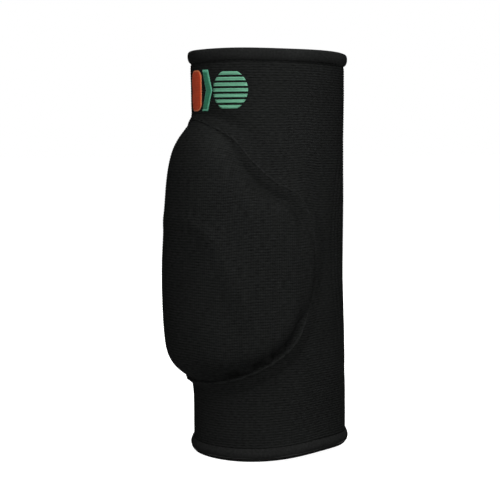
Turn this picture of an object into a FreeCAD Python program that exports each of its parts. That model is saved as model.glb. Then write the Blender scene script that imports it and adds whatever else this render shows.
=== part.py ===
import FreeCAD, Part

import math
import os

import Sketcher

# An elbow pad: a pull-on tube of elastic knit with a moulded foam pad under it.
# The sleeve's axis is +Z, its lower cuff opens at the origin, and the pad faces -Y.
# Angles round the sleeve are measured from -Y towards +X.  All sizes are in millimetres.

DOCUMENT = FreeCAD.newDocument("ElbowPad")
SHEET = DOCUMENT.addObject("Spreadsheet::Sheet", "Sizes")

SIZES = [
    ("sleeve_length", 233.0, "overall length, cuff edge to cuff edge"),
    ("knit_inner_radius", 43.5, "inside of the knit tube"),
    ("knit_thickness", 1.5, "thickness of the stretched knit"),
    ("lining_thickness", 0.8, "cloth behind the foam"),
    ("lining_margin", 5.0, "how far the lining reaches past the foam"),
    ("hem_height", 6.5, "height of each folded hem"),
    ("hem_wall", 0.8, "thickness of the binding cloth"),
    ("hem_rounding", 1.6, "rounding of a hem's outer rim"),
    ("elastic_thickness", 1.0, "band inside each hem"),
    ("elastic_height", 4.4, "height of that band"),
    ("pad_bottom", 40.5, "level of the lip's lowest point"),
    ("pad_length", 153.5, "lip's lowest point to its highest"),
    ("pad_half_width", 78.5, "half the pad's width, measured round the sleeve"),
    ("pad_thickness", 18.5, "foam thickness at the crown"),
    ("wing_thinning", 0.42, "share of the thickness lost at the side wings"),
    ("lip_thickness", 2.6, "foam thickness of the moulded lip"),
    ("lip_width", 5.0, "width of the lip inside its crest"),
    ("lip_slope", 3.0, "width of the lip's outer slope"),
    ("dome_rounding", 7.0, "how far inside the lip the dome's steep wall rounds over"),
    ("upper_rounding", 5.0, "what that grows by at the middle of the upper end"),
    ("foam_clearance", 0.1, "gap between the foam and the knit over it"),
    ("thread_radius", 0.3, "half the thickness of the sewing thread"),
    ("stitch_length", 2.4, "visible length of one stitch"),
    ("stitch_pitch", 3.5, "distance from one stitch to the next"),
    ("print_thickness", 0.3, "thickness of the printed motifs"),
    ("motif_level", 209.5, "height of the motifs' centres"),
    ("block_width", 14.0, "width of the rounded block motif"),
    ("block_height", 23.0, "height of the rounded block motif"),
    ("block_rounding", 5.0, "corner radius of the rounded block motif"),
    ("chevron_width", 9.0, "width of the chevron motif"),
    ("chevron_height", 23.0, "height of the chevron motif"),
    ("chevron_stroke", 5.2, "width of the chevron's stroke"),
    ("roundel_radius", 11.3, "radius of the striped roundel"),
    ("stripe_height", 1.9, "height of one stripe of the roundel"),
    ("stripe_pitch", 3.1, "distance from one stripe to the next"),
]

# Angles of the three motifs round the sleeve, in degrees from the pad's centre line.
BLOCK_ANGLE = 0.0
CHEVRON_ANGLE = 15.8
ROUNDEL_ANGLE = 37.0

# Right half of the pad's outline, as shares of its half width and of its length.
PAD_OUTLINE = [
    (0.00, 1.000),
    (0.37, 0.942),
    (0.55, 0.845),
    (0.71, 0.768),
    (0.90, 0.705),
    (1.00, 0.560),
    (0.995, 0.400),
    (0.90, 0.215),
    (0.73, 0.108),
    (0.42, 0.028),
    (0.00, 0.000),
]

# The crown is thickest at this share of the pad's length, and thins by CROWN_FALL towards the ends.
CROWN_LEVEL = 0.3
CROWN_FALL = 0.2

# From MID_LEVEL to UPPER_LEVEL, as shares of the pad's length, the dome's wall gets gentler.
MID_LEVEL = 0.5
UPPER_LEVEL = 0.9

# The freeform surfaces are bicubic, with one row of poles each ROW_STEP up the sleeve.
DEGREE = 3
COLUMNS = 120
ROW_STEP = 4.0
SAMPLES_PER_SPAN = 8

# Away from the pad a piece's surface runs this far below the one it is cut from, so it ends there.
SUNK = 2.0

# The lip's outer slope rounds over into its crest over this width.
CREST_ROUNDING = 1.0

# The knit spans the step at the foam's edge over this height, up and down.
BRIDGE_REACH = 0.8

# The stitches lie this far off the hems, and this far off the knit's level on the lip.
THREAD_GAP = 0.02
LIP_BULGE = 0.25

# How far a tool that cuts a motif out of the thin print skin reaches past the knit.
CUTTER_REACH = "Sizes.knit_inner_radius + 10"

UP = FreeCAD.Vector(0, 0, 1)
SIDEWAYS = FreeCAD.Vector(1, 0, 0)
ORIGIN = FreeCAD.Vector(0, 0, 0)


def fill_sheet():
    for row, (alias, value, meaning) in enumerate(SIZES, start=1):
        SHEET.set("A%d" % row, meaning)
        SHEET.set("B%d" % row, str(value))
        SHEET.setAlias("B%d" % row, alias)
    DOCUMENT.recompute()


def size(alias):
    return float(SHEET.get(alias))


def on_sleeve(angle, radius, level):
    """The point at an angle round the sleeve, a distance from its axis and a level."""
    return FreeCAD.Vector(radius * math.sin(angle), -radius * math.cos(angle), level)


def knit_outer_radius():
    return size("knit_inner_radius") + size("knit_thickness")


# ---------------------------------------------------------------- pad shape

def smooth_closed_curve(corners, samples):
    """Points of a smooth closed curve through the corners (Catmull-Rom)."""
    points = []
    count = len(corners)
    for index in range(count):
        before, start, end, after = (corners[(index + shift) % count] for shift in (-1, 0, 1, 2))
        for sample in range(samples):
            t = sample / samples
            point = []
            for a, b, c, d in zip(before, start, end, after):
                cubic = (3 * b - a - 3 * c + d) * t ** 3
                square = (2 * a - 5 * b + 4 * c - d) * t ** 2
                point.append(0.5 * (2 * b + (c - a) * t + square + cubic))
            points.append(tuple(point))
    return points


def pad_outline():
    """The lip's crest, unrolled: distance round the sleeve and level."""
    half_width = size("pad_half_width")
    right = [(across * half_width, size("pad_bottom") + up * size("pad_length"))
             for across, up in PAD_OUTLINE]
    left = [(-across, up) for across, up in reversed(right[1:-1])]
    return smooth_closed_curve(right + left, SAMPLES_PER_SPAN)


def inside_distance(across, up, outline):
    """Distance from a point to the outline, positive inside it."""
    nearest = float("inf")
    inside = False
    previous = outline[-1]
    for current in outline:
        span_x = current[0] - previous[0]
        span_y = current[1] - previous[1]
        length_squared = span_x ** 2 + span_y ** 2
        share = ((across - previous[0]) * span_x + (up - previous[1]) * span_y) / length_squared
        share = min(1.0, max(0.0, share))
        gap_x = across - previous[0] - share * span_x
        gap_y = up - previous[1] - share * span_y
        nearest = min(nearest, gap_x ** 2 + gap_y ** 2)
        if (current[1] > up) != (previous[1] > up):
            crossing = previous[0] + (up - previous[1]) * span_x / span_y
            if across < crossing:
                inside = not inside
        previous = current
    distance = math.sqrt(nearest)
    return distance if inside else -distance


def ease(value):
    """0 below 0, 1 above 1, and smooth between."""
    value = min(1.0, max(0.0, value))
    return value * value * (3 - 2 * value)


def foam_height(across, up, distance):
    """Foam thickness over the lining.  It is negative outside the pad."""
    past_edge = distance + size("lip_slope")
    if past_edge < 0:
        return max(-SUNK, past_edge)
    lip = size("lip_thickness") * ease(past_edge / (size("lip_slope") + CREST_ROUNDING))
    wing = (across / size("pad_half_width")) ** 2
    level = (up - size("pad_bottom")) / size("pad_length")
    fall = CROWN_FALL * (level - CROWN_LEVEL) ** 2
    crown = size("pad_thickness") * (1 - size("wing_thinning") * wing) * (1 - fall)
    # The dome starts steeply inside the lip and then rounds over, more slowly near the top.
    near_top = ease((level - MID_LEVEL) / (UPPER_LEVEL - MID_LEVEL))
    rounding = size("dome_rounding") + size("upper_rounding") * near_top * (1 - wing)
    inner = max(0.0, distance - size("lip_width") / 2)
    return lip + (crown - lip) * (1 - math.exp(-inner / rounding))


def bridge(height):
    """Height of the knit over a foam height: it spans the step and is never below zero."""
    if height <= -BRIDGE_REACH:
        return 0.0
    if height >= BRIDGE_REACH:
        return height
    return (height + BRIDGE_REACH) ** 2 / (4 * BRIDGE_REACH)


# ---------------------------------------------------------------- freeform solids

def grid_levels():
    rows = int(round(size("sleeve_length") / ROW_STEP))
    return [size("sleeve_length") * row / rows for row in range(rows + 1)]


def pad_field(outline):
    """(across, up, inside distance) for every pole of the freeform surfaces."""
    field = []
    for level in grid_levels():
        row = []
        for column in range(COLUMNS):
            angle = 2 * math.pi * column / COLUMNS
            across = math.remainder(angle, 2 * math.pi) * knit_outer_radius()
            row.append((across, level, inside_distance(across, level, outline)))
        field.append(row)
    return field


def freeform_solid(radii, bottom, top):
    """A closed solid of revolution-like rows of poles, clamped between two levels."""
    rows = len(radii)
    # A cubic's curve runs slightly inside its poles: this brings it back to the true radius.
    swell = 3 / (2 + math.cos(2 * math.pi / COLUMNS))
    poles = []
    for row in range(rows):
        level = bottom + (top - bottom) * row / (rows - 1)
        angles = [2 * math.pi * column / COLUMNS for column in range(COLUMNS)]
        poles.append([on_sleeve(angle, radius * swell, level)
                      for angle, radius in zip(angles, radii[row])])
    spans = rows - DEGREE
    surface = Part.BSplineSurface()
    surface.buildFromPolesMultsKnots(
        poles, [DEGREE + 1] + [1] * (spans - 1) + [DEGREE + 1], [1] * (COLUMNS + 1),
        [float(knot) for knot in range(spans + 1)], [float(knot) for knot in range(COLUMNS + 1)],
        False, True, DEGREE, DEGREE)
    side = surface.toShape()
    facing = side.normalAt(0.5, 0.5)
    spot = side.valueAt(0.5, 0.5)
    if facing.x * spot.x + facing.y * spot.y < 0:
        side.reverse()
    faces = [side]
    middle = (bottom + top) / 2
    for edge in side.Edges:
        if edge.isClosed() and edge.BoundBox.ZLength < 0.001:
            cap = Part.Face(Part.Wire([edge]))
            # A cap faces away from the middle of the solid.
            if cap.normalAt(0, 0).z * (edge.BoundBox.ZMin - middle) < 0:
                cap.reverse()
            faces.append(cap)
    return Part.makeSolid(Part.makeShell(faces))


def freeform_piece(label, shape):
    piece = DOCUMENT.addObject("Part::Feature", label)
    piece.Label = label
    piece.Shape = shape
    piece.Placement = FreeCAD.Placement(ORIGIN, FreeCAD.Rotation())
    return piece


def envelope(field, base_radius, height_at):
    """A freeform solid whose radius is the base radius plus a height at each pole."""
    radii = [[base_radius + height_at(*point) for point in row] for row in field]
    return freeform_solid(radii, size("hem_wall"), size("sleeve_length") - size("hem_wall"))


# ---------------------------------------------------------------- sub-parts

def make_outer_sleeve(field):
    """The knit tube, stretched over the foam, with its edges inside the hems."""
    def knit_height(across, up, distance):
        return bridge(foam_height(across, up, distance))

    outside = envelope(field, knit_outer_radius(), knit_height)
    inside = envelope(field, size("knit_inner_radius"), knit_height)
    return freeform_piece("outer_sleeve", outside.cut(inside))


def make_foam_pad(field):
    """The moulded foam: a thin lip all round and a dome with side wings."""
    outside = envelope(field, size("knit_inner_radius") - size("foam_clearance"), foam_height)
    core = Part.makeCylinder(size("knit_inner_radius"), size("sleeve_length"))
    return freeform_piece("foam_pad", outside.cut(core))


def make_pad_lining(field):
    """The cloth that closes the foam in, a little larger than the foam all round."""
    middle_radius = size("knit_inner_radius") - size("lining_thickness") / 2

    def edge_height(across, up, distance):
        past_edge = distance + size("lip_slope") + size("lining_margin")
        return min(SUNK, max(-SUNK, past_edge / 2))

    outside = envelope(field, middle_radius, edge_height)
    tube = Part.makeCylinder(size("knit_inner_radius"), size("sleeve_length"))
    core = Part.makeCylinder(size("knit_inner_radius") - size("lining_thickness"),
                             size("sleeve_length"))
    return freeform_piece("pad_lining", tube.cut(core).common(outside))


def bound_rectangle(body, name, inner_radius, bottom, width, height):
    """A rectangle beside the axis in the XZ plane, its four sizes given as expressions."""
    sketch = body.newObject("Sketcher::SketchObject", name)
    plane = [feature for feature in body.Origin.OriginFeatures if feature.Role == "XZ_Plane"][0]
    sketch.AttachmentSupport = [(plane, "")]
    sketch.MapMode = "FlatFace"
    # The rectangle is drawn roughly here, and its four named constraints then give its real size.
    left, low, wide, high = 40.0, 1.0, 10.0, 8.0
    corners = [(left, low), (left + wide, low), (left + wide, low + high), (left, low + high)]
    for start, end in zip(corners, corners[1:] + corners[:1]):
        sketch.addGeometry(Part.LineSegment(FreeCAD.Vector(*start, 0), FreeCAD.Vector(*end, 0)))
    for line in range(4):
        sketch.addConstraint(Sketcher.Constraint("Coincident", line, 2, (line + 1) % 4, 1))
    for line in (0, 2):
        sketch.addConstraint(Sketcher.Constraint("Horizontal", line))
    for line in (1, 3):
        sketch.addConstraint(Sketcher.Constraint("Vertical", line))
    named = [
        ("inner_radius", Sketcher.Constraint("DistanceX", -1, 1, 0, 1, left), inner_radius),
        ("bottom", Sketcher.Constraint("DistanceY", -1, 1, 0, 1, low), bottom),
        ("width", Sketcher.Constraint("DistanceX", 0, 1, 0, 2, wide), width),
        ("height", Sketcher.Constraint("DistanceY", 1, 1, 1, 2, high), height),
    ]
    for title, constraint, expression in named:
        index = sketch.addConstraint(constraint)
        sketch.renameConstraint(index, title)
        sketch.setExpression("Constraints." + title, expression)
    return sketch


def make_hem_binding(label, placement):
    """A cloth band folded over the sleeve's edge: a channel in section, rounded at its rim."""
    body = DOCUMENT.addObject("PartDesign::Body", label)
    body.Label = label
    inner = "Sizes.knit_inner_radius - Sizes.hem_wall"
    channel_width = "Sizes.knit_thickness + Sizes.elastic_thickness"
    profile = bound_rectangle(body, label + "_profile", inner, "0 mm",
                              channel_width + " + 2 * Sizes.hem_wall", "Sizes.hem_height")
    ring = body.newObject("PartDesign::Revolution", label + "_ring")
    ring.Profile = profile
    ring.ReferenceAxis = (profile, ["V_Axis"])
    ring.Angle = 360
    channel = bound_rectangle(body, label + "_channel", "Sizes.knit_inner_radius",
                              "Sizes.hem_wall", channel_width, "Sizes.hem_height")
    groove = body.newObject("PartDesign::Groove", label + "_groove")
    groove.Profile = channel
    groove.ReferenceAxis = (channel, ["V_Axis"])
    groove.Angle = 360
    DOCUMENT.recompute()
    rim = outer_rim(groove.Shape)
    rounding = body.newObject("PartDesign::Fillet", label + "_rounding")
    rounding.Base = (groove, [rim])
    rounding.setExpression("Radius", "Sizes.hem_rounding")
    body.Placement = placement
    return body


def outer_rim(shape):
    """Name of the circular edge that is lowest and furthest out."""
    boxes = [edge.BoundBox for edge in shape.Edges]
    best = max(range(len(boxes)),
               key=lambda index: (-round(boxes[index].ZMax, 3), boxes[index].XMax))
    return "Edge%d" % (best + 1)


def bound_cylinder(name, radius, height):
    cylinder = DOCUMENT.addObject("Part::Cylinder", name)
    cylinder.setExpression("Radius", radius)
    cylinder.setExpression("Height", height)
    return cylinder


def make_hem_elastic(label, placement):
    """The elastic band round the knit, inside the hem."""
    outer = bound_cylinder(label + "_outside",
                           "Sizes.knit_inner_radius + Sizes.knit_thickness + Sizes.elastic_thickness",
                           "Sizes.elastic_height")
    inner = bound_cylinder(label + "_inside", "Sizes.knit_inner_radius + Sizes.knit_thickness",
                           "Sizes.elastic_height")
    band = DOCUMENT.addObject("Part::Cut", label)
    band.Label = label
    band.Base = outer
    band.Tool = inner
    band.Placement = placement
    return band


def stitch_shape():
    """One stitch: a short round-ended thread along +X, centred on the origin."""
    radius = size("thread_radius")
    straight = size("stitch_length") - 2 * radius
    left = FreeCAD.Vector(-straight / 2, 0, 0)
    right = FreeCAD.Vector(straight / 2, 0, 0)
    lift = FreeCAD.Vector(0, radius, 0)
    end = FreeCAD.Vector(radius, 0, 0)
    bow = math.sqrt(0.5) * radius
    left_cap = Part.Arc(left - end, left + FreeCAD.Vector(-bow, bow, 0), left + lift)
    right_cap = Part.Arc(right + lift, right + FreeCAD.Vector(bow, bow, 0), right + end)
    top = Part.LineSegment(left + lift, right + lift)
    base = Part.LineSegment(right + end, left - end)
    wire = Part.Wire([left_cap.toShape(), top.toShape(), right_cap.toShape(), base.toShape()])
    return Part.Face(wire).revolve(ORIGIN, SIDEWAYS, 360)


def stitch_row(label, places):
    """A node of separate stitches; each place is a centre and a direction."""
    pattern = stitch_shape()
    stitches = []
    for centre, direction in places:
        stitch = pattern.copy()
        stitch.Placement = FreeCAD.Placement(centre, FreeCAD.Rotation(SIDEWAYS, direction))
        stitches.append(stitch)
    return freeform_piece(label, Part.makeCompound(stitches))


def make_hem_thread(label, level):
    """Stitches round a hem, on the outside of its binding."""
    radius = (knit_outer_radius() + size("elastic_thickness") + size("hem_wall")
              + size("thread_radius"))
    # The straight stitch's ends would dip under the round band: this lifts it clear.
    radius += size("stitch_length") ** 2 / (8 * radius) + THREAD_GAP
    count = int(2 * math.pi * radius / size("stitch_pitch"))
    places = []
    for index in range(count):
        angle = 2 * math.pi * index / count
        direction = FreeCAD.Vector(math.cos(angle), math.sin(angle), 0)
        places.append((on_sleeve(angle, radius, level), direction))
    return stitch_row(label, places)


def make_pad_seam_thread(outline):
    """Stitches that follow the pad's lip, on the outside of the knit."""
    places = []
    travelled = 0.0
    due = 0.0
    base = knit_outer_radius()
    lift = size("lip_thickness") + size("thread_radius") + LIP_BULGE
    for start, end in zip(outline, outline[1:] + outline[:1]):
        length = math.dist(start, end)
        while due <= travelled + length:
            share = (due - travelled) / length
            across = start[0] + (end[0] - start[0]) * share
            level = start[1] + (end[1] - start[1]) * share
            angle = across / base
            run = (end[0] - start[0]) / length
            rise = (end[1] - start[1]) / length
            direction = FreeCAD.Vector(run * math.cos(angle), run * math.sin(angle), rise)
            places.append((on_sleeve(angle, base + lift, level), direction))
            due += size("stitch_pitch")
        travelled += length
    # The last stitch may not run into the first one.
    if math.dist(places[-1][0], places[0][0]) < size("stitch_length"):
        places.pop()
    return stitch_row("pad_seam_thread", places)


# ---------------------------------------------------------------- printed motifs

def print_skin(name):
    """The thin tube on the knit from which the printed motifs are cut."""
    outer_radius = "Sizes.knit_inner_radius + Sizes.knit_thickness"
    outer = bound_cylinder(name + "_outside", outer_radius + " + Sizes.print_thickness",
                           "Sizes.sleeve_length")
    inner = bound_cylinder(name + "_inside", outer_radius, "Sizes.sleeve_length")
    skin = DOCUMENT.addObject("Part::Cut", name)
    skin.Base = outer
    skin.Tool = inner
    return skin


def motif_placement(angle):
    """Turns a shape drawn on -Y about the sleeve's axis and lifts it to the motifs' level."""
    return FreeCAD.Placement(FreeCAD.Vector(0, 0, size("motif_level")),
                             FreeCAD.Rotation(UP, angle))


def make_motif(label, cutter):
    motif = DOCUMENT.addObject("Part::Common", label)
    motif.Label = label
    motif.Base = print_skin(label + "_skin")
    motif.Tool = cutter
    motif.Placement = FreeCAD.Placement(ORIGIN, FreeCAD.Rotation())
    return motif


def bar_cutter(name, width, height, level="0"):
    """A bar from the sleeve's axis out through the print skin, centred on a level."""
    box = DOCUMENT.addObject("Part::Box", name)
    box.setExpression("Length", width)
    box.setExpression("Width", CUTTER_REACH)
    box.setExpression("Height", height)
    box.setExpression("Placement.Base.x", "-(%s) / 2" % width)
    box.setExpression("Placement.Base.y", "-(%s)" % CUTTER_REACH)
    box.setExpression("Placement.Base.z", "%s - (%s) / 2" % (level, height))
    return box


def make_block():
    """A rounded block."""
    rounded = "Sizes.block_rounding"
    parts = [bar_cutter("block_upright", "Sizes.block_width - 2 * " + rounded, "Sizes.block_height"),
             bar_cutter("block_crossways", "Sizes.block_width", "Sizes.block_height - 2 * " + rounded)]
    for side in (-1, 1):
        for end in (-1, 1):
            corner = bound_cylinder("block_corner_%d" % len(parts), rounded, CUTTER_REACH)
            corner.Placement.Rotation = FreeCAD.Rotation(SIDEWAYS, 90)
            corner.setExpression("Placement.Base.x", "%d * (Sizes.block_width / 2 - %s)" % (side, rounded))
            corner.setExpression("Placement.Base.z", "%d * (Sizes.block_height / 2 - %s)" % (end, rounded))
            parts.append(corner)
    whole = DOCUMENT.addObject("Part::MultiFuse", "block_cutter")
    whole.Shapes = parts
    whole.Refine = True
    whole.Placement = motif_placement(BLOCK_ANGLE)
    return make_motif("motif_orange_block", whole)


def make_chevron():
    """A chevron that points round the sleeve, away from the block."""
    half_height = size("chevron_height") / 2
    tip = size("chevron_width") / 2
    stroke = size("chevron_stroke")
    corners = [(-tip, half_height), (-tip + stroke, half_height), (tip, 0),
               (-tip + stroke, -half_height), (-tip, -half_height), (tip - stroke, 0)]
    reach = knit_outer_radius() + 2 * size("print_thickness")
    points = [FreeCAD.Vector(across, -reach, up) for across, up in corners]
    face = Part.Face(Part.makePolygon(points + points[:1]))
    cutter = DOCUMENT.addObject("Part::Feature", "chevron_cutter")
    cutter.Shape = face.extrude(FreeCAD.Vector(0, reach, 0))
    cutter.Placement = motif_placement(CHEVRON_ANGLE)
    return make_motif("motif_green_chevron", cutter)


def make_roundel():
    """A disc of level stripes."""
    disc = bound_cylinder("roundel_disc", "Sizes.roundel_radius", CUTTER_REACH)
    disc.Placement.Rotation = FreeCAD.Rotation(SIDEWAYS, 90)
    stripes = []
    reach = int(size("roundel_radius") / size("stripe_pitch"))
    for index in range(-reach, reach + 1):
        stripes.append(bar_cutter("roundel_stripe_%d" % (index + reach), "2 * Sizes.roundel_radius",
                                  "Sizes.stripe_height", "%d * Sizes.stripe_pitch" % index))
    bars = DOCUMENT.addObject("Part::Compound", "roundel_stripes")
    bars.Links = stripes
    cutter = DOCUMENT.addObject("Part::Common", "roundel_cutter")
    cutter.Base = bars
    cutter.Tool = disc
    cutter.Placement = motif_placement(ROUNDEL_ANGLE)
    return make_motif("motif_striped_roundel", cutter)


# ---------------------------------------------------------------- assembly

def make_hems():
    length = size("sleeve_length")
    lower = FreeCAD.Placement(ORIGIN, FreeCAD.Rotation())
    upper = FreeCAD.Placement(FreeCAD.Vector(0, 0, length), FreeCAD.Rotation(SIDEWAYS, 180))
    wall = size("hem_wall")
    lower_band = FreeCAD.Placement(FreeCAD.Vector(0, 0, wall), FreeCAD.Rotation())
    upper_band = FreeCAD.Placement(FreeCAD.Vector(0, 0, length - wall),
                                   FreeCAD.Rotation(SIDEWAYS, 180))
    thread_level = size("hem_height") - 2 * size("thread_radius")
    return [
        make_hem_binding("bottom_hem_binding", lower),
        make_hem_elastic("bottom_hem_elastic", lower_band),
        make_hem_thread("bottom_hem_thread", thread_level),
        make_hem_binding("top_hem_binding", upper),
        make_hem_elastic("top_hem_elastic", upper_band),
        make_hem_thread("top_hem_thread", length - thread_level),
    ]


def check_and_write(pieces):
    DOCUMENT.recompute()
    for item in DOCUMENT.Objects:
        if "Invalid" in item.State or "Error" in item.State:
            raise RuntimeError("%s failed: %s" % (item.Label, item.State))
    os.makedirs("parts", exist_ok=True)
    for piece in pieces:
        shape = piece.Shape
        if shape.isNull() or not shape.isValid() or not shape.Solids:
            raise RuntimeError("%s has no valid shape" % piece.Label)
        print("%-24s %4d solids  %10.1f mm3" % (piece.Label, len(shape.Solids), shape.Volume))
        shape.exportStep("parts/%s.step" % piece.Label)


def main():
    fill_sheet()
    outline = pad_outline()
    field = pad_field(outline)
    pieces = [make_outer_sleeve(field), make_foam_pad(field), make_pad_lining(field),
              make_pad_seam_thread(outline)]
    pieces += make_hems()
    pieces += [make_block(), make_chevron(), make_roundel()]
    check_and_write(pieces)


main()
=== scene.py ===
import math

import bpy
import numpy as np
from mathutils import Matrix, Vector


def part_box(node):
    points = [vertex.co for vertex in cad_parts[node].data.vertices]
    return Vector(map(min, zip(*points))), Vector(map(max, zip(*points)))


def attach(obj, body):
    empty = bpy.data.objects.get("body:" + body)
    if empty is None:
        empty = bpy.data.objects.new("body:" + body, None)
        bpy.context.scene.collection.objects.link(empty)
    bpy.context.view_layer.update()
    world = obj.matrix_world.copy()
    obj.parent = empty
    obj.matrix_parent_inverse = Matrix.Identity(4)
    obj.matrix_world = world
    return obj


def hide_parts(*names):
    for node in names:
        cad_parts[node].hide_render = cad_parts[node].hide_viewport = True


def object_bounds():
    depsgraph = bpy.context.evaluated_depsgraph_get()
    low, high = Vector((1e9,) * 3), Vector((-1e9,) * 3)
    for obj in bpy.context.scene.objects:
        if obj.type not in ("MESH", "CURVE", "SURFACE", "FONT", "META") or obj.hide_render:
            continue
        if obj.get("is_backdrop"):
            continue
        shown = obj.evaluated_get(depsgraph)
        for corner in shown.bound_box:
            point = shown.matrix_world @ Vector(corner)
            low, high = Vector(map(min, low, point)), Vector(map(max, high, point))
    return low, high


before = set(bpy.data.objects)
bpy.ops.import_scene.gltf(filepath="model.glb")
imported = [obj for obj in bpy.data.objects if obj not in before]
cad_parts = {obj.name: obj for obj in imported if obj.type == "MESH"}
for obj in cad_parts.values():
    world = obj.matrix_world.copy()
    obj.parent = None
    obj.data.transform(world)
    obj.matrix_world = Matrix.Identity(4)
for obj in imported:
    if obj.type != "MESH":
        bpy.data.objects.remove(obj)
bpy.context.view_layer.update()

# Lengths are in millimetres in this script, and MM turns them into metres where a mesh is made.
# Angles round the sleeve are measured from the pad's centre line, -Y, towards +X.
MM = 0.001

# ---- sizes from the frame

RIM_LOW, RIM_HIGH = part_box("top_hem_binding")
BAND_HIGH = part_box("top_hem_elastic")[1]
FOAM_LOW, FOAM_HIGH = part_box("foam_pad")
BLOCK_LOW, BLOCK_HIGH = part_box("motif_orange_block")

ELASTIC_THICKNESS = 1.0
ELASTIC_SINK = 0.2
KNIT_THICKNESS = 1.5
SLEEVE_LENGTH = RIM_HIGH.z / MM
HEM_HEIGHT = (RIM_HIGH.z - RIM_LOW.z) / MM
KNIT_RADIUS = BAND_HIGH.x / MM - ELASTIC_THICKNESS + ELASTIC_SINK
BORE_RADIUS = KNIT_RADIUS - KNIT_THICKNESS
LIP_SLOPE = 3.0
PAD_BOTTOM = FOAM_LOW.z / MM + LIP_SLOPE
PAD_LENGTH = FOAM_HIGH.z / MM - LIP_SLOPE - PAD_BOTTOM
PAD_CENTRE = PAD_BOTTOM + 0.48 * PAD_LENGTH
PAD_HALF_WIDTH = 78.5
LINING_MARGIN = LIP_SLOPE + 5.0
MOTIF_LEVEL = (BLOCK_LOW.z + BLOCK_HIGH.z) / 2 / MM

# Right half of the pad's outline, as shares of its half width and of its length.
PAD_OUTLINE = [
    (0.00, 1.000), (0.37, 0.942), (0.55, 0.845), (0.71, 0.768), (0.90, 0.705), (1.00, 0.560),
    (0.995, 0.400), (0.90, 0.215), (0.73, 0.108), (0.42, 0.028), (0.00, 0.000),
]

# Right half of the arch moulded into the dome: angle in degrees and level.
ARCH = [(0, 137.5), (20, 134.5), (33, 127.5), (40, 116), (48, 98), (56, 79), (58, 60)]

# ---- shape of the knit over the foam

PAD_THICKNESS = 18.3
WING_THINNING = 0.45
UPPER_THINNING = 0.07
FLANK_WIDTH = 42.0
WING_ROUNDING = 2.2
SWELL_START = 6.0
SWELL_LENGTH = 26.0

ARCH_RIM = 0.35
ARCH_RIGHT_RIM = 0.6
ARCH_RECESS = 0.5
ARCH_MIDDLE = 0.35

TUCK_DEPTH = 0.7
CROOK_LEVEL = 120.0
CROOK_RINGS = (38.0, 42.5, 46.5)
CROOK_RING_HEIGHT = 1.85
CROOK_GROOVE = 1.0
CROOK_DEPTH = 0.55
FLARE_DEPTH = 0.5
PINCH_DEPTH = 0.35
SLOW_WOBBLE = 0.16
QUICK_WOBBLE = 0.10

BOTTOM_TILT = 2.5
TOP_TILT = 1.1
TOP_DROP = 0.4
TILT_ANGLE = math.radians(15)
BOTTOM_LIFT = 2.3
LIFT_ANGLE = math.radians(110)
LIFT_SPREAD = math.sqrt(0.27)
LEAN = 1.5
LEAN_ANGLE = math.radians(65)

# The lift of the knit over its designed shape, in rows up the sleeve and columns round it.
CLOTH = {"lift": np.zeros((2, 4))}


def ease(value):
    """0 below 0, 1 above 1, and smooth between."""
    value = np.clip(value, 0.0, 1.0)
    return value * value * (3 - 2 * value)


def rise(value, run, start=0.0):
    """0 up to the start, 1 a run further on, and smooth between."""
    return ease((value - start) / run)


def approach(value, start, length):
    """0 up to the start, then ever closer to 1."""
    return 1 - np.exp(-np.maximum(0.0, value - start) / length)


def hump(value, width, centre=0.0):
    """1 at the centre, falling off smoothly to both sides."""
    return np.exp(-((value - centre) / width) ** 2)


def smooth_curve(corners, samples, closed):
    """Points of a smooth curve through the corners (Catmull-Rom)."""
    corners = np.asarray(corners, float)
    count = len(corners)
    points = []
    for index in range(count if closed else count - 1):
        picks = np.arange(index - 1, index + 3)
        a, b, c, d = corners[picks % count if closed else np.clip(picks, 0, count - 1)]
        for sample in range(samples):
            t = sample / samples
            cubic = (3 * b - a - 3 * c + d) * t ** 3
            square = (2 * a - 5 * b + 4 * c - d) * t ** 2
            points.append(0.5 * (2 * b + (c - a) * t + square + cubic))
    if not closed:
        points.append(corners[-1])
    return np.array(points)


def make_outline():
    """The lip's crest, unrolled: distance round the sleeve and level."""
    right = [(across * PAD_HALF_WIDTH, PAD_BOTTOM + up * PAD_LENGTH) for across, up in PAD_OUTLINE]
    left = [(-across, up) for across, up in reversed(right[1:-1])]
    return smooth_curve(right + left, samples=8, closed=True)


OUTLINE = make_outline()


def make_arch():
    """The arch moulded into the dome, unrolled, closed below where it fades out."""
    right = [(math.radians(degrees) * KNIT_RADIUS, up) for degrees, up in ARCH]
    left = [(-across, up) for across, up in reversed(right[1:])]
    return smooth_curve(left + right, samples=6, closed=True)


ARCH_OUTLINE = make_arch()


def inside_distance(across, up, outline=OUTLINE):
    """Distance from points to an outline, positive inside it."""
    nearest = np.full(np.shape(across), np.inf)
    inside = np.zeros(np.shape(across), bool)
    for start, end in zip(np.roll(outline, 1, axis=0), outline):
        span = end - start
        share = ((across - start[0]) * span[0] + (up - start[1]) * span[1]) / (span @ span)
        share = np.clip(share, 0.0, 1.0)
        gap = np.hypot(across - start[0] - share * span[0], up - start[1] - share * span[1])
        nearest = np.minimum(nearest, gap)
        spans_level = (end[1] > up) != (start[1] > up)
        if span[1] != 0:
            crossing = start[0] + (up - start[1]) * span[0] / span[1]
            inside ^= spans_level & (across < crossing)
    return np.where(inside, nearest, -nearest)


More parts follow.
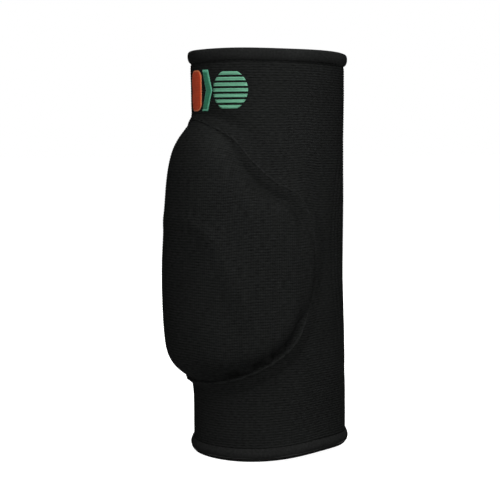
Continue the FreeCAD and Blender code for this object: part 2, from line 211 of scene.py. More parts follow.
def arch_step(angle, up):
    """The soft arch moulded into the dome: a rim, steeper outside, and a little lower inside it."""
    inside = inside_distance(angle * KNIT_RADIUS, up, ARCH_OUTLINE)
    aside = rise(np.abs(np.degrees(angle)), run=30.0)
    fade = rise(up, start=62.0, run=40.0) * (ARCH_MIDDLE + (1 - ARCH_MIDDLE) * aside)
    recess = -ARCH_RECESS * rise(inside, start=-1.0, run=9.0)
    # The rim is more marked on the pad's right side.
    height = ARCH_RIM + ARCH_RIGHT_RIM * rise(angle, run=0.45)
    rim = height * hump(inside, width=np.where(inside > 0, 7.0, 3.0))
    return fade * (recess + rim)


def region_grader(across, up):
    """A function that grades a size over the regions of the pad in which points lie."""
    aside = np.abs(across)
    level = np.clip((up - PAD_BOTTOM) / PAD_LENGTH, 0.0, 1.0)
    upper = rise(level, start=0.35, run=0.5)
    flank = rise(aside, run=FLANK_WIDTH)
    wing = rise(aside, start=67.0, run=9.0) * (1 - upper)
    # The valley opens out later on the pad's right side than on its left.
    late = 18.0 * rise(across, start=-10.0, run=20.0)
    far_flank = upper * rise(aside, start=late, run=FLANK_WIDTH - late * 2 / 3)
    # Low on the flanks the knit hangs free, and nearly straight, between the lip and the tube.
    # It starts nearer to the pad's middle on the right side than on the left.
    hang = (1 - upper) * (1 - wing) * rise(np.abs(across + 12.0), start=14.0, run=20.0)
    regions = dict(upper=upper, wing=wing, hang=hang, far_flank=far_flank, high_flank=upper * flank,
                   high_middle=upper * (1 - flank), low_flank=(1 - upper) * flank)

    def grade(size, **extras):
        """The size low in the pad's middle, and an extra for each region that is named."""
        for name, extra in extras.items():
            size = size + extra * regions[name]
        return size

    return grade


def lip_height(distance, grade):
    """The lip: a thin crest, thicker at the bottom, that falls into a valley inside it."""
    crest = grade(3.7, upper=-2.0, low_flank=-0.8) * grade(1.0, wing=-0.2)
    crest = grade(crest, hang=0.8)
    slope = grade(LIP_SLOPE + 0.7, high_flank=4.0, wing=5.0, hang=3.8)
    dip = grade(0.32, far_flank=0.42, low_flank=0.42) * grade(1.0, wing=-1.0)
    valley = grade(4.2, high_flank=3.6, low_flank=-1.6)
    valley_start = grade(0.0, high_flank=1.6)
    # The outside of the lip is rounded, and nearly straight where the knit hangs free.
    straight = np.clip((distance + slope) / slope, 0.0, 1.0)
    rounded = ease(straight)
    climb = rounded + grade(0.0, hang=0.8) * (straight - rounded)
    lip = crest * climb - dip * crest * rise(distance, start=valley_start, run=valley)
    return lip + grade(0.0, high_flank=0.3) * hump(distance, width=1.2)


def foam_height(angle, up):
    """Height of the foam over the lining, zero outside the pad."""
    across = angle * KNIT_RADIUS
    distance = inside_distance(across, up)
    grade = region_grader(across, up)
    lip = lip_height(distance, grade)
    # The dome: a steep wall from the valley, a round shoulder and a slowly rising crown.
    side = np.clip(np.abs(across) / PAD_HALF_WIDTH, 0.0, 1.0)
    thinned = (1 - WING_THINNING * side ** 2) * grade(1.0, upper=-UPPER_THINNING)
    crown = PAD_THICKNESS * thinned - lip
    growth = grade(0.07, upper=0.29, high_flank=-0.174, low_flank=0.15)
    start = grade(1.3, high_middle=-0.5, low_flank=2.5, far_flank=7.6)
    start = start * grade(1.0, wing=-1.0)
    rounding = grade(6.0, high_middle=2.0, high_flank=-2.0, low_flank=-3.6)
    rounding = grade(rounding, wing=WING_ROUNDING - rounding)
    wall = approach(distance, start, rounding)
    swell = approach(distance, SWELL_START, SWELL_LENGTH)
    height = lip + crown * ((1 - growth) * wall + growth * swell)
    height = height + np.where(distance > 0, arch_step(angle, up), 0.0)
    return np.maximum(height, 0.0)


def crook_grooves(angle, up):
    """Shallow nested grooves round the bend of the elbow, opposite the pad."""
    away = (math.pi - np.abs(angle)) * KNIT_RADIUS
    reach = np.hypot(away, (up - CROOK_LEVEL) / CROOK_RING_HEIGHT)
    grooves = sum(hump(reach, centre=ring, width=CROOK_GROOVE) for ring in CROOK_RINGS)
    keep = 1 - rise(np.abs(up - CROOK_LEVEL), start=40.0, run=16.0)
    return -CROOK_DEPTH * grooves * keep


def flare(up):
    """The knit widens a little into the lower hem."""
    return FLARE_DEPTH * (1 - rise(up, start=3.0, run=6.0))


def pinch(up):
    """The knit is drawn in a little where the upper hem is sewn on."""
    return -PINCH_DEPTH * hump(up, centre=SLEEVE_LENGTH - HEM_HEIGHT - 1.0, width=1.2)


def tuck(angle, up):
    """The knit sinks in a little above the lip, on both flanks."""
    across = angle * KNIT_RADIUS
    distance = inside_distance(across, up)
    upper = rise(up, start=PAD_BOTTOM + 0.6 * PAD_LENGTH, run=30.0)
    flank = hump(np.abs(across), centre=26.0, width=11.0)
    return -TUCK_DEPTH * upper * flank * hump(distance, centre=-6.5, width=3.2)


def wobble(angle, up):
    """Soft unevenness of a hand-filled, hand-sewn sleeve."""
    slow = np.sin(2 * angle + up / 31.0) + 0.7 * np.sin(3 * angle - up / 23.0 + 1.3)
    quick = np.sin(5 * angle + up / 11.0 + 0.4)
    return SLOW_WOBBLE * slow + QUICK_WOBBLE * quick


def designed_radius(angle, up):
    """Outer radius of the knit before it is simulated."""
    surface = KNIT_RADIUS + foam_height(angle, up) + flare(up) + pinch(up)
    return surface + crook_grooves(angle, up) + tuck(angle, up) + wobble(angle, up)


def cloth_lift(angle, up):
    """How far the simulated knit stands off its designed radius, between the points of its grid."""
    lift = CLOTH["lift"]
    rows, columns = lift.shape
    column = np.remainder(angle + math.pi, 2 * math.pi) / (2 * math.pi) * columns
    row = np.clip(up / SLEEVE_LENGTH, 0, 1) * (rows - 1)
    left = np.floor(column).astype(int) % columns
    right = (left + 1) % columns
    low = np.minimum(np.floor(row).astype(int), rows - 2)
    share, climb = column - np.floor(column), row - low
    under = lift[low, left] * (1 - share) + lift[low, right] * share
    over = lift[low + 1, left] * (1 - share) + lift[low + 1, right] * share
    return under * (1 - climb) + over * climb


def knit_radius(angle, up):
    """Outer radius of the knit without its ribs."""
    return designed_radius(angle, up) + cloth_lift(angle, up)


def settled_level(angle, up):
    """Level of a point once the soft tube has settled: both cuffs lean a little."""
    tilt = np.cos(angle - TILT_ANGLE)
    past_lift = np.remainder(angle - LIFT_ANGLE + math.pi, 2 * math.pi) - math.pi
    bottom = BOTTOM_LIFT * hump(past_lift, width=LIFT_SPREAD) - BOTTOM_TILT * tilt
    top = TOP_TILT * tilt - TOP_DROP
    return up + bottom * (1 - rise(up, start=4.0, run=60.0)) + top * rise(up, start=190.0, run=40.0)


def points_at(angle, radius, up):
    """Points of the settled sleeve, in metres, from angles, radii and levels."""
    angle, radius, up = np.broadcast_arrays(angle, radius, up)
    sideways = LEAN * (1 - rise(up, start=20.0, run=85.0))
    x = radius * np.sin(angle) + sideways * math.cos(LEAN_ANGLE)
    y = -radius * np.cos(angle) + sideways * math.sin(LEAN_ANGLE)
    return np.stack([x, y, settled_level(angle, up)], axis=-1).reshape(-1, 3) * MM


def on_knit(angle, up, lift):
    """Points at a height over the knit's surface."""
    return points_at(angle, knit_radius(angle, up) + lift, up)


# ---- mesh helpers

def unit(vectors):
    return vectors / np.linalg.norm(vectors, axis=1)[:, None]


def even_angles(count):
    """Angles right round the sleeve, as one row."""
    return np.linspace(-math.pi, math.pi, count, endpoint=False)[None, :]


def add_item(name, data):
    item = bpy.data.objects.new(name, data)
    bpy.context.scene.collection.objects.link(item)
    return item


def make_object(name, points, faces, materials, face_materials=None):
    mesh = bpy.data.meshes.new(name)
    mesh.from_pydata([tuple(point) for point in points], [], [tuple(face) for face in faces])
    mesh.validate()
    mesh.polygons.foreach_set("use_smooth", [True] * len(mesh.polygons))
    for material in materials:
        mesh.materials.append(material)
    if face_materials is not None:
        mesh.polygons.foreach_set("material_index", face_materials)
    mesh.update()
    return add_item(name, mesh)


def strip_faces(rows, columns, start=0, wrap=True, flip=False):
    """Quads of a grid of rows and columns whose points start at an index."""
    low = start + np.arange(rows - 1)[:, None] * columns
    high = low + columns
    column = np.arange(columns if wrap else columns - 1)[None, :]
    following = (column + 1) % columns
    a, b, c, d = low + column, low + following, high + following, high + column
    corners = [a, d, c, b] if flip else [a, b, c, d]
    return np.stack(np.broadcast_arrays(*corners), axis=-1).reshape(-1, 4)


def ring_columns():
    """Angles of the columns of faces: closest where the pad's wings and the bend's creases are."""
    stretches = [(-136, -104, 26), (-104, -70, 24), (-70, 70, 61),
                 (70, 104, 24), (104, 136, 26), (136, 224, 20)]
    spans = [np.linspace(start, end, count, endpoint=False) for start, end, count in stretches]
    degrees = np.concatenate(spans)
    return np.radians(np.where(degrees > 180, degrees - 360, degrees))


def closed_ring(name, points, rows, material):
    """A closed ring of faces: rows of points run along it, one after another round its section."""
    columns = len(points) // rows
    closing = strip_faces(2, columns)
    closing = np.where(closing < columns, closing + (rows - 1) * columns, closing - columns)
    return make_object(name, points, np.concatenate([strip_faces(rows, columns), closing]), [material])


# ---- materials

class Nodes:
    """A short way to write a node material."""

    def __init__(self, name):
        self.material = bpy.data.materials.new(name)
        self.material.use_nodes = True
        self.tree = self.material.node_tree
        self.shader = self.tree.nodes["Principled BSDF"]
        # The place of a point in the row frame, in metres.
        self.place = self.add("ShaderNodeTexCoord").outputs["Object"]

    def add(self, kind, **settings):
        node = self.tree.nodes.new(kind)
        for key, value in settings.items():
            setattr(node, key, value)
        return node

    def link(self, source, target):
        self.tree.links.new(source, target)

    def math(self, operation, *values):
        node = self.add("ShaderNodeMath", operation=operation)
        for socket, value in zip(node.inputs, values):
            if isinstance(value, (int, float)):
                socket.default_value = value
            else:
                self.link(value, socket)
        return node.outputs[0]

    def weigh(self, *terms, plus=0.0):
        """The sum of values, each times its weight, and one more value."""
        total = plus
        for value, weight in terms:
            total = self.math("MULTIPLY_ADD", value, weight, total)
        return total

    def around_and_up(self):
        """Distance round the sleeve and level, in metres."""
        split = self.add("ShaderNodeSeparateXYZ")
        self.link(self.place, split.inputs[0])
        x, y, up = split.outputs
        angle = self.math("ARCTAN2", x, self.math("MULTIPLY", y, -1.0))
        return self.math("MULTIPLY", angle, KNIT_RADIUS * MM), up

    def wave(self, value, pitch):
        """A sine from -1 to 1 with a pitch in metres."""
        return self.math("SINE", self.math("MULTIPLY", value, 2 * math.pi / pitch))

    def loops(self, up, columns, pitch, bend):
        """Courses of loops: a wave up the cloth, bent by the columns that it crosses."""
        course = self.math("MULTIPLY", up, 2 * math.pi / pitch)
        return self.math("SINE", self.weigh((self.math("ABSOLUTE", columns), bend), plus=course))

    def attribute(self, name):
        return self.add("ShaderNodeAttribute", attribute_name=name).outputs["Fac"]

    def noise(self, scale, detail=2.0, place=None):
        node = self.add("ShaderNodeTexNoise")
        node.inputs["Scale"].default_value = scale
        node.inputs["Detail"].default_value = detail
        self.link(place or self.place, node.inputs["Vector"])
        return node.outputs["Fac"]

    def bump(self, height, distance):
        node = self.add("ShaderNodeBump")
        node.inputs["Strength"].default_value = 1.0
        node.inputs["Distance"].default_value = distance
        self.link(height, node.inputs["Height"])
        return node.outputs[0]

    def finish(self, shade, low, high, normal=None, roughness=1.0, specular=0.0):
        """Colours the material from low to high by a shade from 0 to 1."""
        ramp = self.add("ShaderNodeValToRGB")
        for element, colour in zip(ramp.color_ramp.elements, (low, high)):
            element.color = (*colour, 1.0)
        self.link(shade, ramp.inputs[0])
        self.link(ramp.outputs[0], self.shader.inputs["Base Color"])
        if normal is not None:
            self.link(normal, self.shader.inputs["Normal"])
        self.shader.inputs["Roughness"].default_value = roughness
        self.shader.inputs["Specular IOR Level"].default_value = specular
        return self.material


def knit_material():
    """Black elastic knit: loops in columns between the ribs, fine fuzz, uneven dye, and painted shade in
    the rib grooves with a painted highlight on their crests.
    """
    nodes = Nodes("black_knit")
    around, up = nodes.around_and_up()
    columns = nodes.wave(around, 1.04 * MM)
    loop = nodes.loops(up, columns, pitch=0.85 * MM, bend=1.6)
    # The columns show more where the knit is stretched over the pad.
    stretch = nodes.attribute("stretch")
    grid = nodes.math("MULTIPLY", columns, nodes.weigh((stretch, 0.75), plus=0.25))
    fuzz = nodes.noise(2600.0)
    # The yarn's unevenness is drawn out along the ribs.
    drawn = nodes.add("ShaderNodeCombineXYZ")
    nodes.link(nodes.math("MULTIPLY", around, 0.32), drawn.inputs[0])
    nodes.link(up, drawn.inputs[2])
    yarn = nodes.noise(1300.0, detail=1.0, place=drawn.outputs[0])
    patch = nodes.noise(30.0, detail=3.0)
    normal = nodes.bump(nodes.weigh((grid, 1.0), (loop, 0.35), (fuzz, 0.8)), 0.05 * MM)
    # The rib shading attribute paints shade into the grooves of the ribs, and light onto their crests and
    # along the lip's ridge.
    shade = nodes.weigh((nodes.attribute("rib_painted_shading"), 0.48), (patch, 0.3), (yarn, 0.95),
                        (grid, 0.07), (stretch, 0.02), plus=-0.415)
    return nodes.finish(shade, (0.0022, 0.0023, 0.0022), (0.0193, 0.0203, 0.0197), normal)


def binding_material():
    """Smooth black binding: fine cross ribs and a faint lighter cast."""
    nodes = Nodes("black_binding")
    around, up = nodes.around_and_up()
    cross = nodes.wave(around, 0.7 * MM)
    along = nodes.wave(up, 0.5 * MM)
    fuzz = nodes.noise(2200.0)
    patch = nodes.noise(45.0, detail=4.0)
    yarn = nodes.noise(900.0)
    normal = nodes.bump(nodes.weigh((cross, 0.4), (along, 0.25), (fuzz, 0.9)), 0.03 * MM)
    shade = nodes.weigh((patch, 0.5), (yarn, 1.0), plus=-0.25)
    return nodes.finish(shade, (0.0060, 0.0062, 0.0061), (0.0215, 0.0222, 0.0217), normal)


def lining_material():
    """Close tricot lining with a slight lustre."""
    nodes = Nodes("black_lining")
    around, up = nodes.around_and_up()
    loop = nodes.loops(up, nodes.wave(around, 1.2 * MM), pitch=0.6 * MM, bend=2.0)
    fuzz = nodes.noise(1800.0)
    patch = nodes.noise(25.0, detail=3.0)
    normal = nodes.bump(nodes.weigh((loop, 0.5), (fuzz, 1.0)), 0.04 * MM)
    shade = nodes.weigh((patch, 0.7), (loop, 0.15))
    return nodes.finish(shade, (0.010, 0.0105, 0.010), (0.021, 0.022, 0.0215),
                        normal, roughness=0.7, specular=0.3)


def foam_material():
    """Moulded closed-cell foam: small round cells under a thin skin."""
    nodes = Nodes("charcoal_foam")
    texture = nodes.add("ShaderNodeTexVoronoi")
    texture.inputs["Scale"].default_value = 900.0
    nodes.link(nodes.place, texture.inputs["Vector"])
    cells = texture.outputs["Distance"]
    patch = nodes.noise(60.0, detail=4.0)
    normal = nodes.bump(cells, 0.12 * MM)
    shade = nodes.weigh((patch, 0.6), (cells, 0.5))
    return nodes.finish(shade, (0.022, 0.022, 0.023), (0.055, 0.055, 0.056),
                        normal, roughness=0.8, specular=0.3)


def elastic_material():
    """Woven elastic band with rubber strands lengthwise."""
    nodes = Nodes("woven_elastic")
    around, up = nodes.around_and_up()
    strands = nodes.wave(up, 0.8 * MM)
    picks = nodes.wave(around, 0.6 * MM)
    fuzz = nodes.noise(1500.0)
    normal = nodes.bump(nodes.weigh((strands, 1.0), (picks, 0.5), (fuzz, 1.0)), 0.05 * MM)
    return nodes.finish(fuzz, (0.018, 0.018, 0.018), (0.042, 0.042, 0.041),
                        normal, roughness=0.75, specular=0.3)


def thread_material():
    """Black polyester thread with a twist and a soft gloss."""
    nodes = Nodes("black_thread")
    around, up = nodes.around_and_up()
    ply = nodes.wave(nodes.weigh((around, 0.8), plus=up), 0.35 * MM)
    normal = nodes.bump(ply, 0.04 * MM)
    tone = nodes.noise(400.0)
    # The thread's tones are lighter than the knit's: partly its own colour and partly a painted highlight
    # that makes the seam on the lip's crest read as a bright line.
    return nodes.finish(tone, (0.0110, 0.0115, 0.0112), (0.0212, 0.0220, 0.0216),
                        normal, roughness=0.8, specular=0.03)


def print_material(name, low, high):
    """Matt transfer ink that shows the knit's ribs, with slight mottling."""
    nodes = Nodes(name)
    ribs = nodes.wave(nodes.around_and_up()[1], RIB_PITCH * MM)
    grain = nodes.noise(1400.0, detail=3.0)
    patch = nodes.noise(320.0, detail=4.0)
    normal = nodes.bump(nodes.weigh((ribs, 0.5), (grain, 1.0)), 0.03 * MM)
    return nodes.finish(nodes.weigh((patch, 0.75), (grain, 0.25)),
                        low, high, normal, roughness=0.6, specular=0.3)


def floor_material():
    """Pale matt floor, bright enough to meet the background."""
    nodes = Nodes("pale_floor")
    nodes.shader.inputs["Emission Color"].default_value = (1, 1, 1, 1)
    sight = nodes.add("ShaderNodeLightPath").outputs["Is Camera Ray"]
    nodes.link(sight, nodes.shader.inputs["Emission Strength"])
    return nodes.finish(nodes.noise(6.0), (0.50, 0.50, 0.50), (0.53, 0.53, 0.53))


# ---- knit sleeve

RIB_PITCH = 1.46
RIB_DEPTH = 0.16
# Heights of the rows of faces within one rib: a narrow groove and a wider crest.
RIB_PROFILE = (-1.0, 0.5, 0.5)
RIBS_LOW = HEM_HEIGHT + 0.8
RIBS_HIGH = SLEEVE_LENGTH - HEM_HEIGHT - 0.2
# Levels at which the cloth's length is measured before the ribs are spaced along it.
MEASURE_LEVELS = 320
# The ribs are this much wider where the knit is stretched over foam of a full height.
PAD_STRETCH = 0.12
FULL_STRETCH_HEIGHT = 6.0
# Height of foam at which the columns of loops show most.
FULL_GRID_HEIGHT = 8.0
EDGE_INSET = 1.2
PLAIN_ROWS = 6
INNER_ROWS = 40
INNER_GAP = 0.25


def rib_grid(angles):
    """Levels of the rows of faces at each angle, and how high each row stands in its rib.

    The ribs are evenly spaced along the cloth, so they spread out where it stretches over the pad.
    """
    ribs = int((RIBS_HIGH - RIBS_LOW) / RIB_PITCH)
    fine = np.linspace(RIBS_LOW, RIBS_HIGH, MEASURE_LEVELS)
    grid_angle, grid_level = np.meshgrid(angles, fine)
    slope = np.gradient(knit_radius(grid_angle, grid_level), fine, axis=0)
    foam = foam_height(grid_angle, grid_level)
    stretch = 1 + PAD_STRETCH * rise(foam, run=FULL_STRETCH_HEIGHT)
    density = np.sqrt(1 + slope ** 2) / stretch
    passed = np.cumsum(density, axis=0) - density[0]
    passed *= ribs / passed[-1]
    steps = np.arange(ribs * len(RIB_PROFILE) + 1) / len(RIB_PROFILE)
    ribbed = np.stack([np.interp(steps, passed[:, column], fine) for column in range(len(angles))], axis=1)
    around = np.ones((1, len(angles)))
    below = np.linspace(EDGE_INSET, RIBS_LOW, PLAIN_ROWS + 1)[:-1, None] * around
    above = np.linspace(RIBS_HIGH, SLEEVE_LENGTH - EDGE_INSET, PLAIN_ROWS + 1)[1:, None] * around
    plain = np.zeros(PLAIN_ROWS)
    heights = np.concatenate([plain, np.resize(RIB_PROFILE, len(steps)), plain])
    return np.concatenate([below, ribbed, above]), heights[:, None] * around


def add_attribute(item, name, values):
    attribute = item.data.attributes.new(name, "FLOAT", "POINT")
    attribute.data.foreach_set("value", np.asarray(values, np.float32))


def make_sleeve(material):
    """The knit tube with its ribs, closed at both edges with its inner face."""
    angles = ring_columns()
    grid_level, heights = rib_grid(angles)
    grid_angle = np.broadcast_to(angles, grid_level.shape)
    outer_points = on_knit(grid_angle, grid_level, RIB_DEPTH * heights)
    inner_levels = np.linspace(SLEEVE_LENGTH - EDGE_INSET, EDGE_INSET, INNER_ROWS)
    inner_angle, inner_level = np.meshgrid(angles, inner_levels)
    inner_points = on_knit(inner_angle, inner_level, INNER_GAP - KNIT_THICKNESS)
    points = np.concatenate([outer_points, inner_points])
    sleeve = closed_ring("knit_sleeve", points, len(grid_level) + INNER_ROWS, material)
    stretch = np.clip(foam_height(grid_angle, grid_level) / FULL_GRID_HEIGHT, 0.0, 1.0)
    plain = np.zeros(len(inner_points))
    add_attribute(sleeve, "stretch", np.concatenate([stretch.ravel(), plain]))
    # A groove is painted darkest, 0.2, as painted shade, and a crest lightest, 0.8, as a painted
    # highlight.
    add_attribute(sleeve, "rib_painted_shading", np.concatenate([0.6 + 0.4 * heights.ravel(), plain + 0.5]))
    return sleeve


# ---- cloth simulation

# The knit is simulated ten times too large, where the collision distances are small beside it.
TRIAL_SCALE = 10.0
TRIAL_COLUMNS = 120
TRIAL_ROWS = 100
TRIAL_POINTS = TRIAL_ROWS * TRIAL_COLUMNS
TRIAL_FRAMES = 20
TRIAL_START = 0.6
PINNED_POINTS = 4 * TRIAL_COLUMNS
CLOTH_SETTINGS = dict(quality=6, mass=0.3, tension_stiffness=20.0, compression_stiffness=20.0,
                      shear_stiffness=5.0, bending_stiffness=0.5, air_damping=2.0,
                      shrink_min=0.04, vertex_group_mass="pinned")
# Share of the simulated lift that is kept, and its limits.
LIFT_SHARE = 0.55
LIFT_LOW = -0.15
LIFT_HIGH = 0.8


def trial_tube(name, start):
    """A plain tube on the designed radius, moved outwards by a distance."""
    angle, level = np.meshgrid(even_angles(TRIAL_COLUMNS), np.linspace(0, SLEEVE_LENGTH, TRIAL_ROWS))
    radius = designed_radius(angle, level) + start
    spots = np.stack([radius * np.sin(angle), -radius * np.cos(angle), level], axis=-1).reshape(-1, 3)
    return make_object(name, spots * MM * TRIAL_SCALE, strip_faces(TRIAL_ROWS, TRIAL_COLUMNS), [])


def add_cloth(tube):
    """Makes a tube a shrinking elastic cloth that is held at both ends."""
    pins = tube.vertex_groups.new(name="pinned")
    low_end = list(range(PINNED_POINTS))
    high_end = list(range(TRIAL_POINTS - PINNED_POINTS, TRIAL_POINTS))
    pins.add(low_end + high_end, 1.0, "REPLACE")
    cloth = tube.modifiers.new("Cloth", "CLOTH")
    for name, value in CLOTH_SETTINGS.items():
        setattr(cloth.settings, name, value)
    cloth.settings.effector_weights.gravity = 0.0
    cloth.collision_settings.distance_min = 0.002
    cloth.collision_settings.collision_quality = 3
    cloth.collision_settings.use_self_collision = False
    cloth.point_cache.frame_start = 1
    cloth.point_cache.frame_end = TRIAL_FRAMES


def smooth_grid(values):
    """Each value of a grid round the sleeve, averaged with its neighbours."""
    mixed = (np.roll(values, 1, axis=1) + 2 * values + np.roll(values, -1, axis=1)) / 4
    padded = np.concatenate([mixed[:1], mixed, mixed[-1:]])
    return (padded[:-2] + 2 * padded[1:-1] + padded[2:]) / 4


def read_lift(tube):
    """How far each point of the simulated tube stands off the designed radius."""
    settled = tube.evaluated_get(bpy.context.evaluated_depsgraph_get()).to_mesh()
    spots = np.empty(TRIAL_POINTS * 3)
    settled.vertices.foreach_get("co", spots)
    spots = spots.reshape(-1, 3) / (MM * TRIAL_SCALE)
    angle = np.arctan2(spots[:, 0], -spots[:, 1])
    lift = np.hypot(spots[:, 0], spots[:, 1]) - designed_radius(angle, spots[:, 2])
    # The collision keeps an even gap all over, which is taken off again.
    return smooth_grid((lift - np.median(lift)).reshape(TRIAL_ROWS, TRIAL_COLUMNS))


def simulate_knit():
    """Lets the knit, a little too small for the foam, pull itself tight over it."""
    body = trial_tube("trial_foam", 0.0)
    body.modifiers.new("Collision", "COLLISION")
    body.collision.thickness_outer = 0.001
    body.collision.cloth_friction = 5.0
    tube = trial_tube("trial_knit", TRIAL_START)
    add_cloth(tube)
    for step in range(1, TRIAL_FRAMES + 1):
        bpy.context.scene.frame_set(step)
    lift = read_lift(tube)
    for item in (tube, body):
        mesh = item.data
        bpy.data.objects.remove(item)
        bpy.data.meshes.remove(mesh)
    bpy.context.scene.frame_set(1)
    return np.clip(lift * LIFT_SHARE, LIFT_LOW, LIFT_HIGH)


# ---- foam and lining

FOAM_RINGS = 46
# The foam stays this far under the knit, but never gets thinner than its least height.
FOAM_GAP = 0.35
FOAM_LEAST = 0.15
FOAM_BACK = 0.02
# The lining's two faces stand on the inner side of the bore's radius.
LINING_RINGS = 40
LINING_FRONT = -0.12
LINING_BACK = -0.75
# Share of its rectangle that the lining's outline fills.
GATHERS = 60
GATHER_HEIGHT = 0.12


def grown_outline(margin):
    """The outline moved outwards by a margin."""
    along = unit(np.roll(OUTLINE, -1, axis=0) - np.roll(OUTLINE, 1, axis=0))
    # The outline runs clockwise from its highest point, so its left side faces outwards.
    outwards = np.stack([-along[:, 1], along[:, 0]], axis=1)
    return OUTLINE + outwards * margin


def patch_grid(margin, rings):
    """Angles and levels of rings of points from the patch's middle to its edge."""
    edge = grown_outline(margin)
    centre = np.array([0.0, PAD_CENTRE])
    shares = np.linspace(0, 1, rings + 1)[1:]
    spots = centre + shares[:, None, None] * (edge - centre)[None, :, :]
    return spots[..., 0] / KNIT_RADIUS, spots[..., 1]


def patch_solid(name, margin, rings, outer_height, inner_height, material):
    """A closed patch that follows the sleeve, between two height functions over the bore."""
    angle, level = patch_grid(margin, rings)
    middle = np.array([[0.0]]), np.array([[PAD_CENTRE]])
    sheets = [(middle, outer_height), ((angle, level), outer_height),
              ((angle[::-1], level[::-1]), inner_height), (middle, inner_height)]
    points = np.concatenate([points_at(place[0], BORE_RADIUS + height(*place), place[1])
                             for place, height in sheets])
    count = angle.shape[1]
    faces = [list(face) for face in strip_faces(2 * rings, count, start=1)]
    last = len(points) - 1
    for column in range(count):
        following = (column + 1) % count
        faces.append([0, 1 + following, 1 + column])
        faces.append([last, last - count + column, last - count + following])
    return make_object(name, points, faces, [material])


def make_foam(material):
    """The foam body, just under the knit."""
    def outside(angle, level):
        return np.maximum(foam_height(angle, level) + wobble(angle, level) - FOAM_GAP, FOAM_LEAST)

    def inside(angle, level):
        return np.full(angle.shape, FOAM_BACK)

    return patch_solid("moulded_foam", LIP_SLOPE, FOAM_RINGS, outside, inside, material)


def make_lining(material):
    """The lining cloth, with soft waves where the seam gathers it."""
    def gathered(base):
        def height(angle, level):
            across = angle * KNIT_RADIUS
            waves = np.sin(GATHERS * np.arctan2(level - PAD_CENTRE, across))
            near_seam = hump(inside_distance(across, level), centre=-2.0, width=7.0)
            return base + GATHER_HEIGHT * near_seam * waves

        return height

    return patch_solid("pad_lining_cloth", LINING_MARGIN, LINING_RINGS,
                       gathered(LINING_FRONT), gathered(LINING_BACK), material)


# ---- hems

HEM_THICKNESS = 0.7
HEM_COLUMNS = 192
HEM_STITCHES = 84
ELASTIC_COLUMNS = 128
# Section of the elastic band: proud of the knit, and distance from the rim.
ELASTIC_SECTION = [(0.12, 5.0), (0.12, 1.5), (0.85, 1.5), (0.85, 5.0)]


def band_profile(path, thickness):
    """A closed section: the path and, back along it, the same path moved inwards."""
    path = smooth_curve(path, samples=4, closed=False)
    along = unit(np.gradient(path, axis=0))
    inwards = np.stack([along[:, 1], -along[:, 0]], axis=1)
    return np.concatenate([path, (path + inwards * thickness)[::-1]])


def hem_object(name, path, at_top, material):
    """A folded band along a cuff. The path gives (proud of the knit, distance from the rim)."""
    profile = band_profile(path, HEM_THICKNESS)
    angles = even_angles(HEM_COLUMNS)
    proud, depth = profile[:, :1], profile[:, 1:]
    # The outer face puckers between the stitches and is a little uneven all round.
    pucker = 0.05 * np.sin(HEM_STITCHES * angles) * rise(depth, start=3.0, run=3.0)
    unevenness = 0.12 * np.sin(7 * angles + 0.5) + 0.08 * np.sin(13 * angles)
    radii = KNIT_RADIUS + proud + (pucker + unevenness) * (proud > 0)
    rim = depth + 0.10 * np.sin(5 * angles + 1.0)
    levels = SLEEVE_LENGTH - rim
    if not at_top:
        radii, levels = radii[::-1], rim[::-1]
    return closed_ring(name, points_at(angles, radii, levels), len(radii), material)


def make_hems(material):
    """Both bindings: inner edge, inner face, fold over the rim, bulging outer face, outer edge."""
    inner = BORE_RADIUS - KNIT_RADIUS - 0.8
    top_path = [(inner, HEM_HEIGHT), (inner, 3.5), (inner + 0.5, 1.6), (-0.8, 0.8), (0.4, 1.0),
                (1.0, 1.8), (1.15, 3.4), (0.95, 4.8), (0.4, 6.0), (-0.15, HEM_HEIGHT)]
    bottom_path = [(inner, HEM_HEIGHT), (inner, 3.4), (inner + 0.5, 1.1), (-0.9, 0.2), (-0.1, 0.6),
                   (0.75, 2.1), (1.1, 3.6), (0.85, 4.9), (0.45, 5.9), (0.05, HEM_HEIGHT + 0.4)]
    return (hem_object("top_hem", top_path, True, material),
            hem_object("bottom_hem", bottom_path, False, material))


def make_elastic(name, at_top, material):
    """The elastic band inside a hem."""
    angles = even_angles(ELASTIC_COLUMNS)
    section = np.array(ELASTIC_SECTION)
    proud, depth = section[:, :1], section[:, 1:]
    radii = KNIT_RADIUS + proud + 0 * angles
    if at_top:
        radii, levels = radii[::-1], SLEEVE_LENGTH - depth[::-1]
    else:
        radii, levels = radii + flare(depth), depth
    return closed_ring(name, points_at(angles, radii, levels), len(radii), material)


# ---- stitches

THREAD_RADIUS = 0.22
THREAD_SIDES = 6
STITCH_LENGTH = 2.4
STITCH_PITCH = 3.5
STITCH_POINTS = 7
SEAM_SINK = 0.12
RIDGE_HALF_WIDTH = 0.75
RIDGE_HALF_HEIGHT = 0.45
RIDGE_HEIGHT = 0.3
RIDGE_STEP = 1.2
RIDGE_SIDES = 8
# Distance ahead at which the outline's direction is read.
LOOK_AHEAD = 0.2


def outward(angle):
    """Directions straight out of the sleeve."""
    return np.stack([np.sin(angle), -np.cos(angle), np.zeros(len(angle))], axis=1)


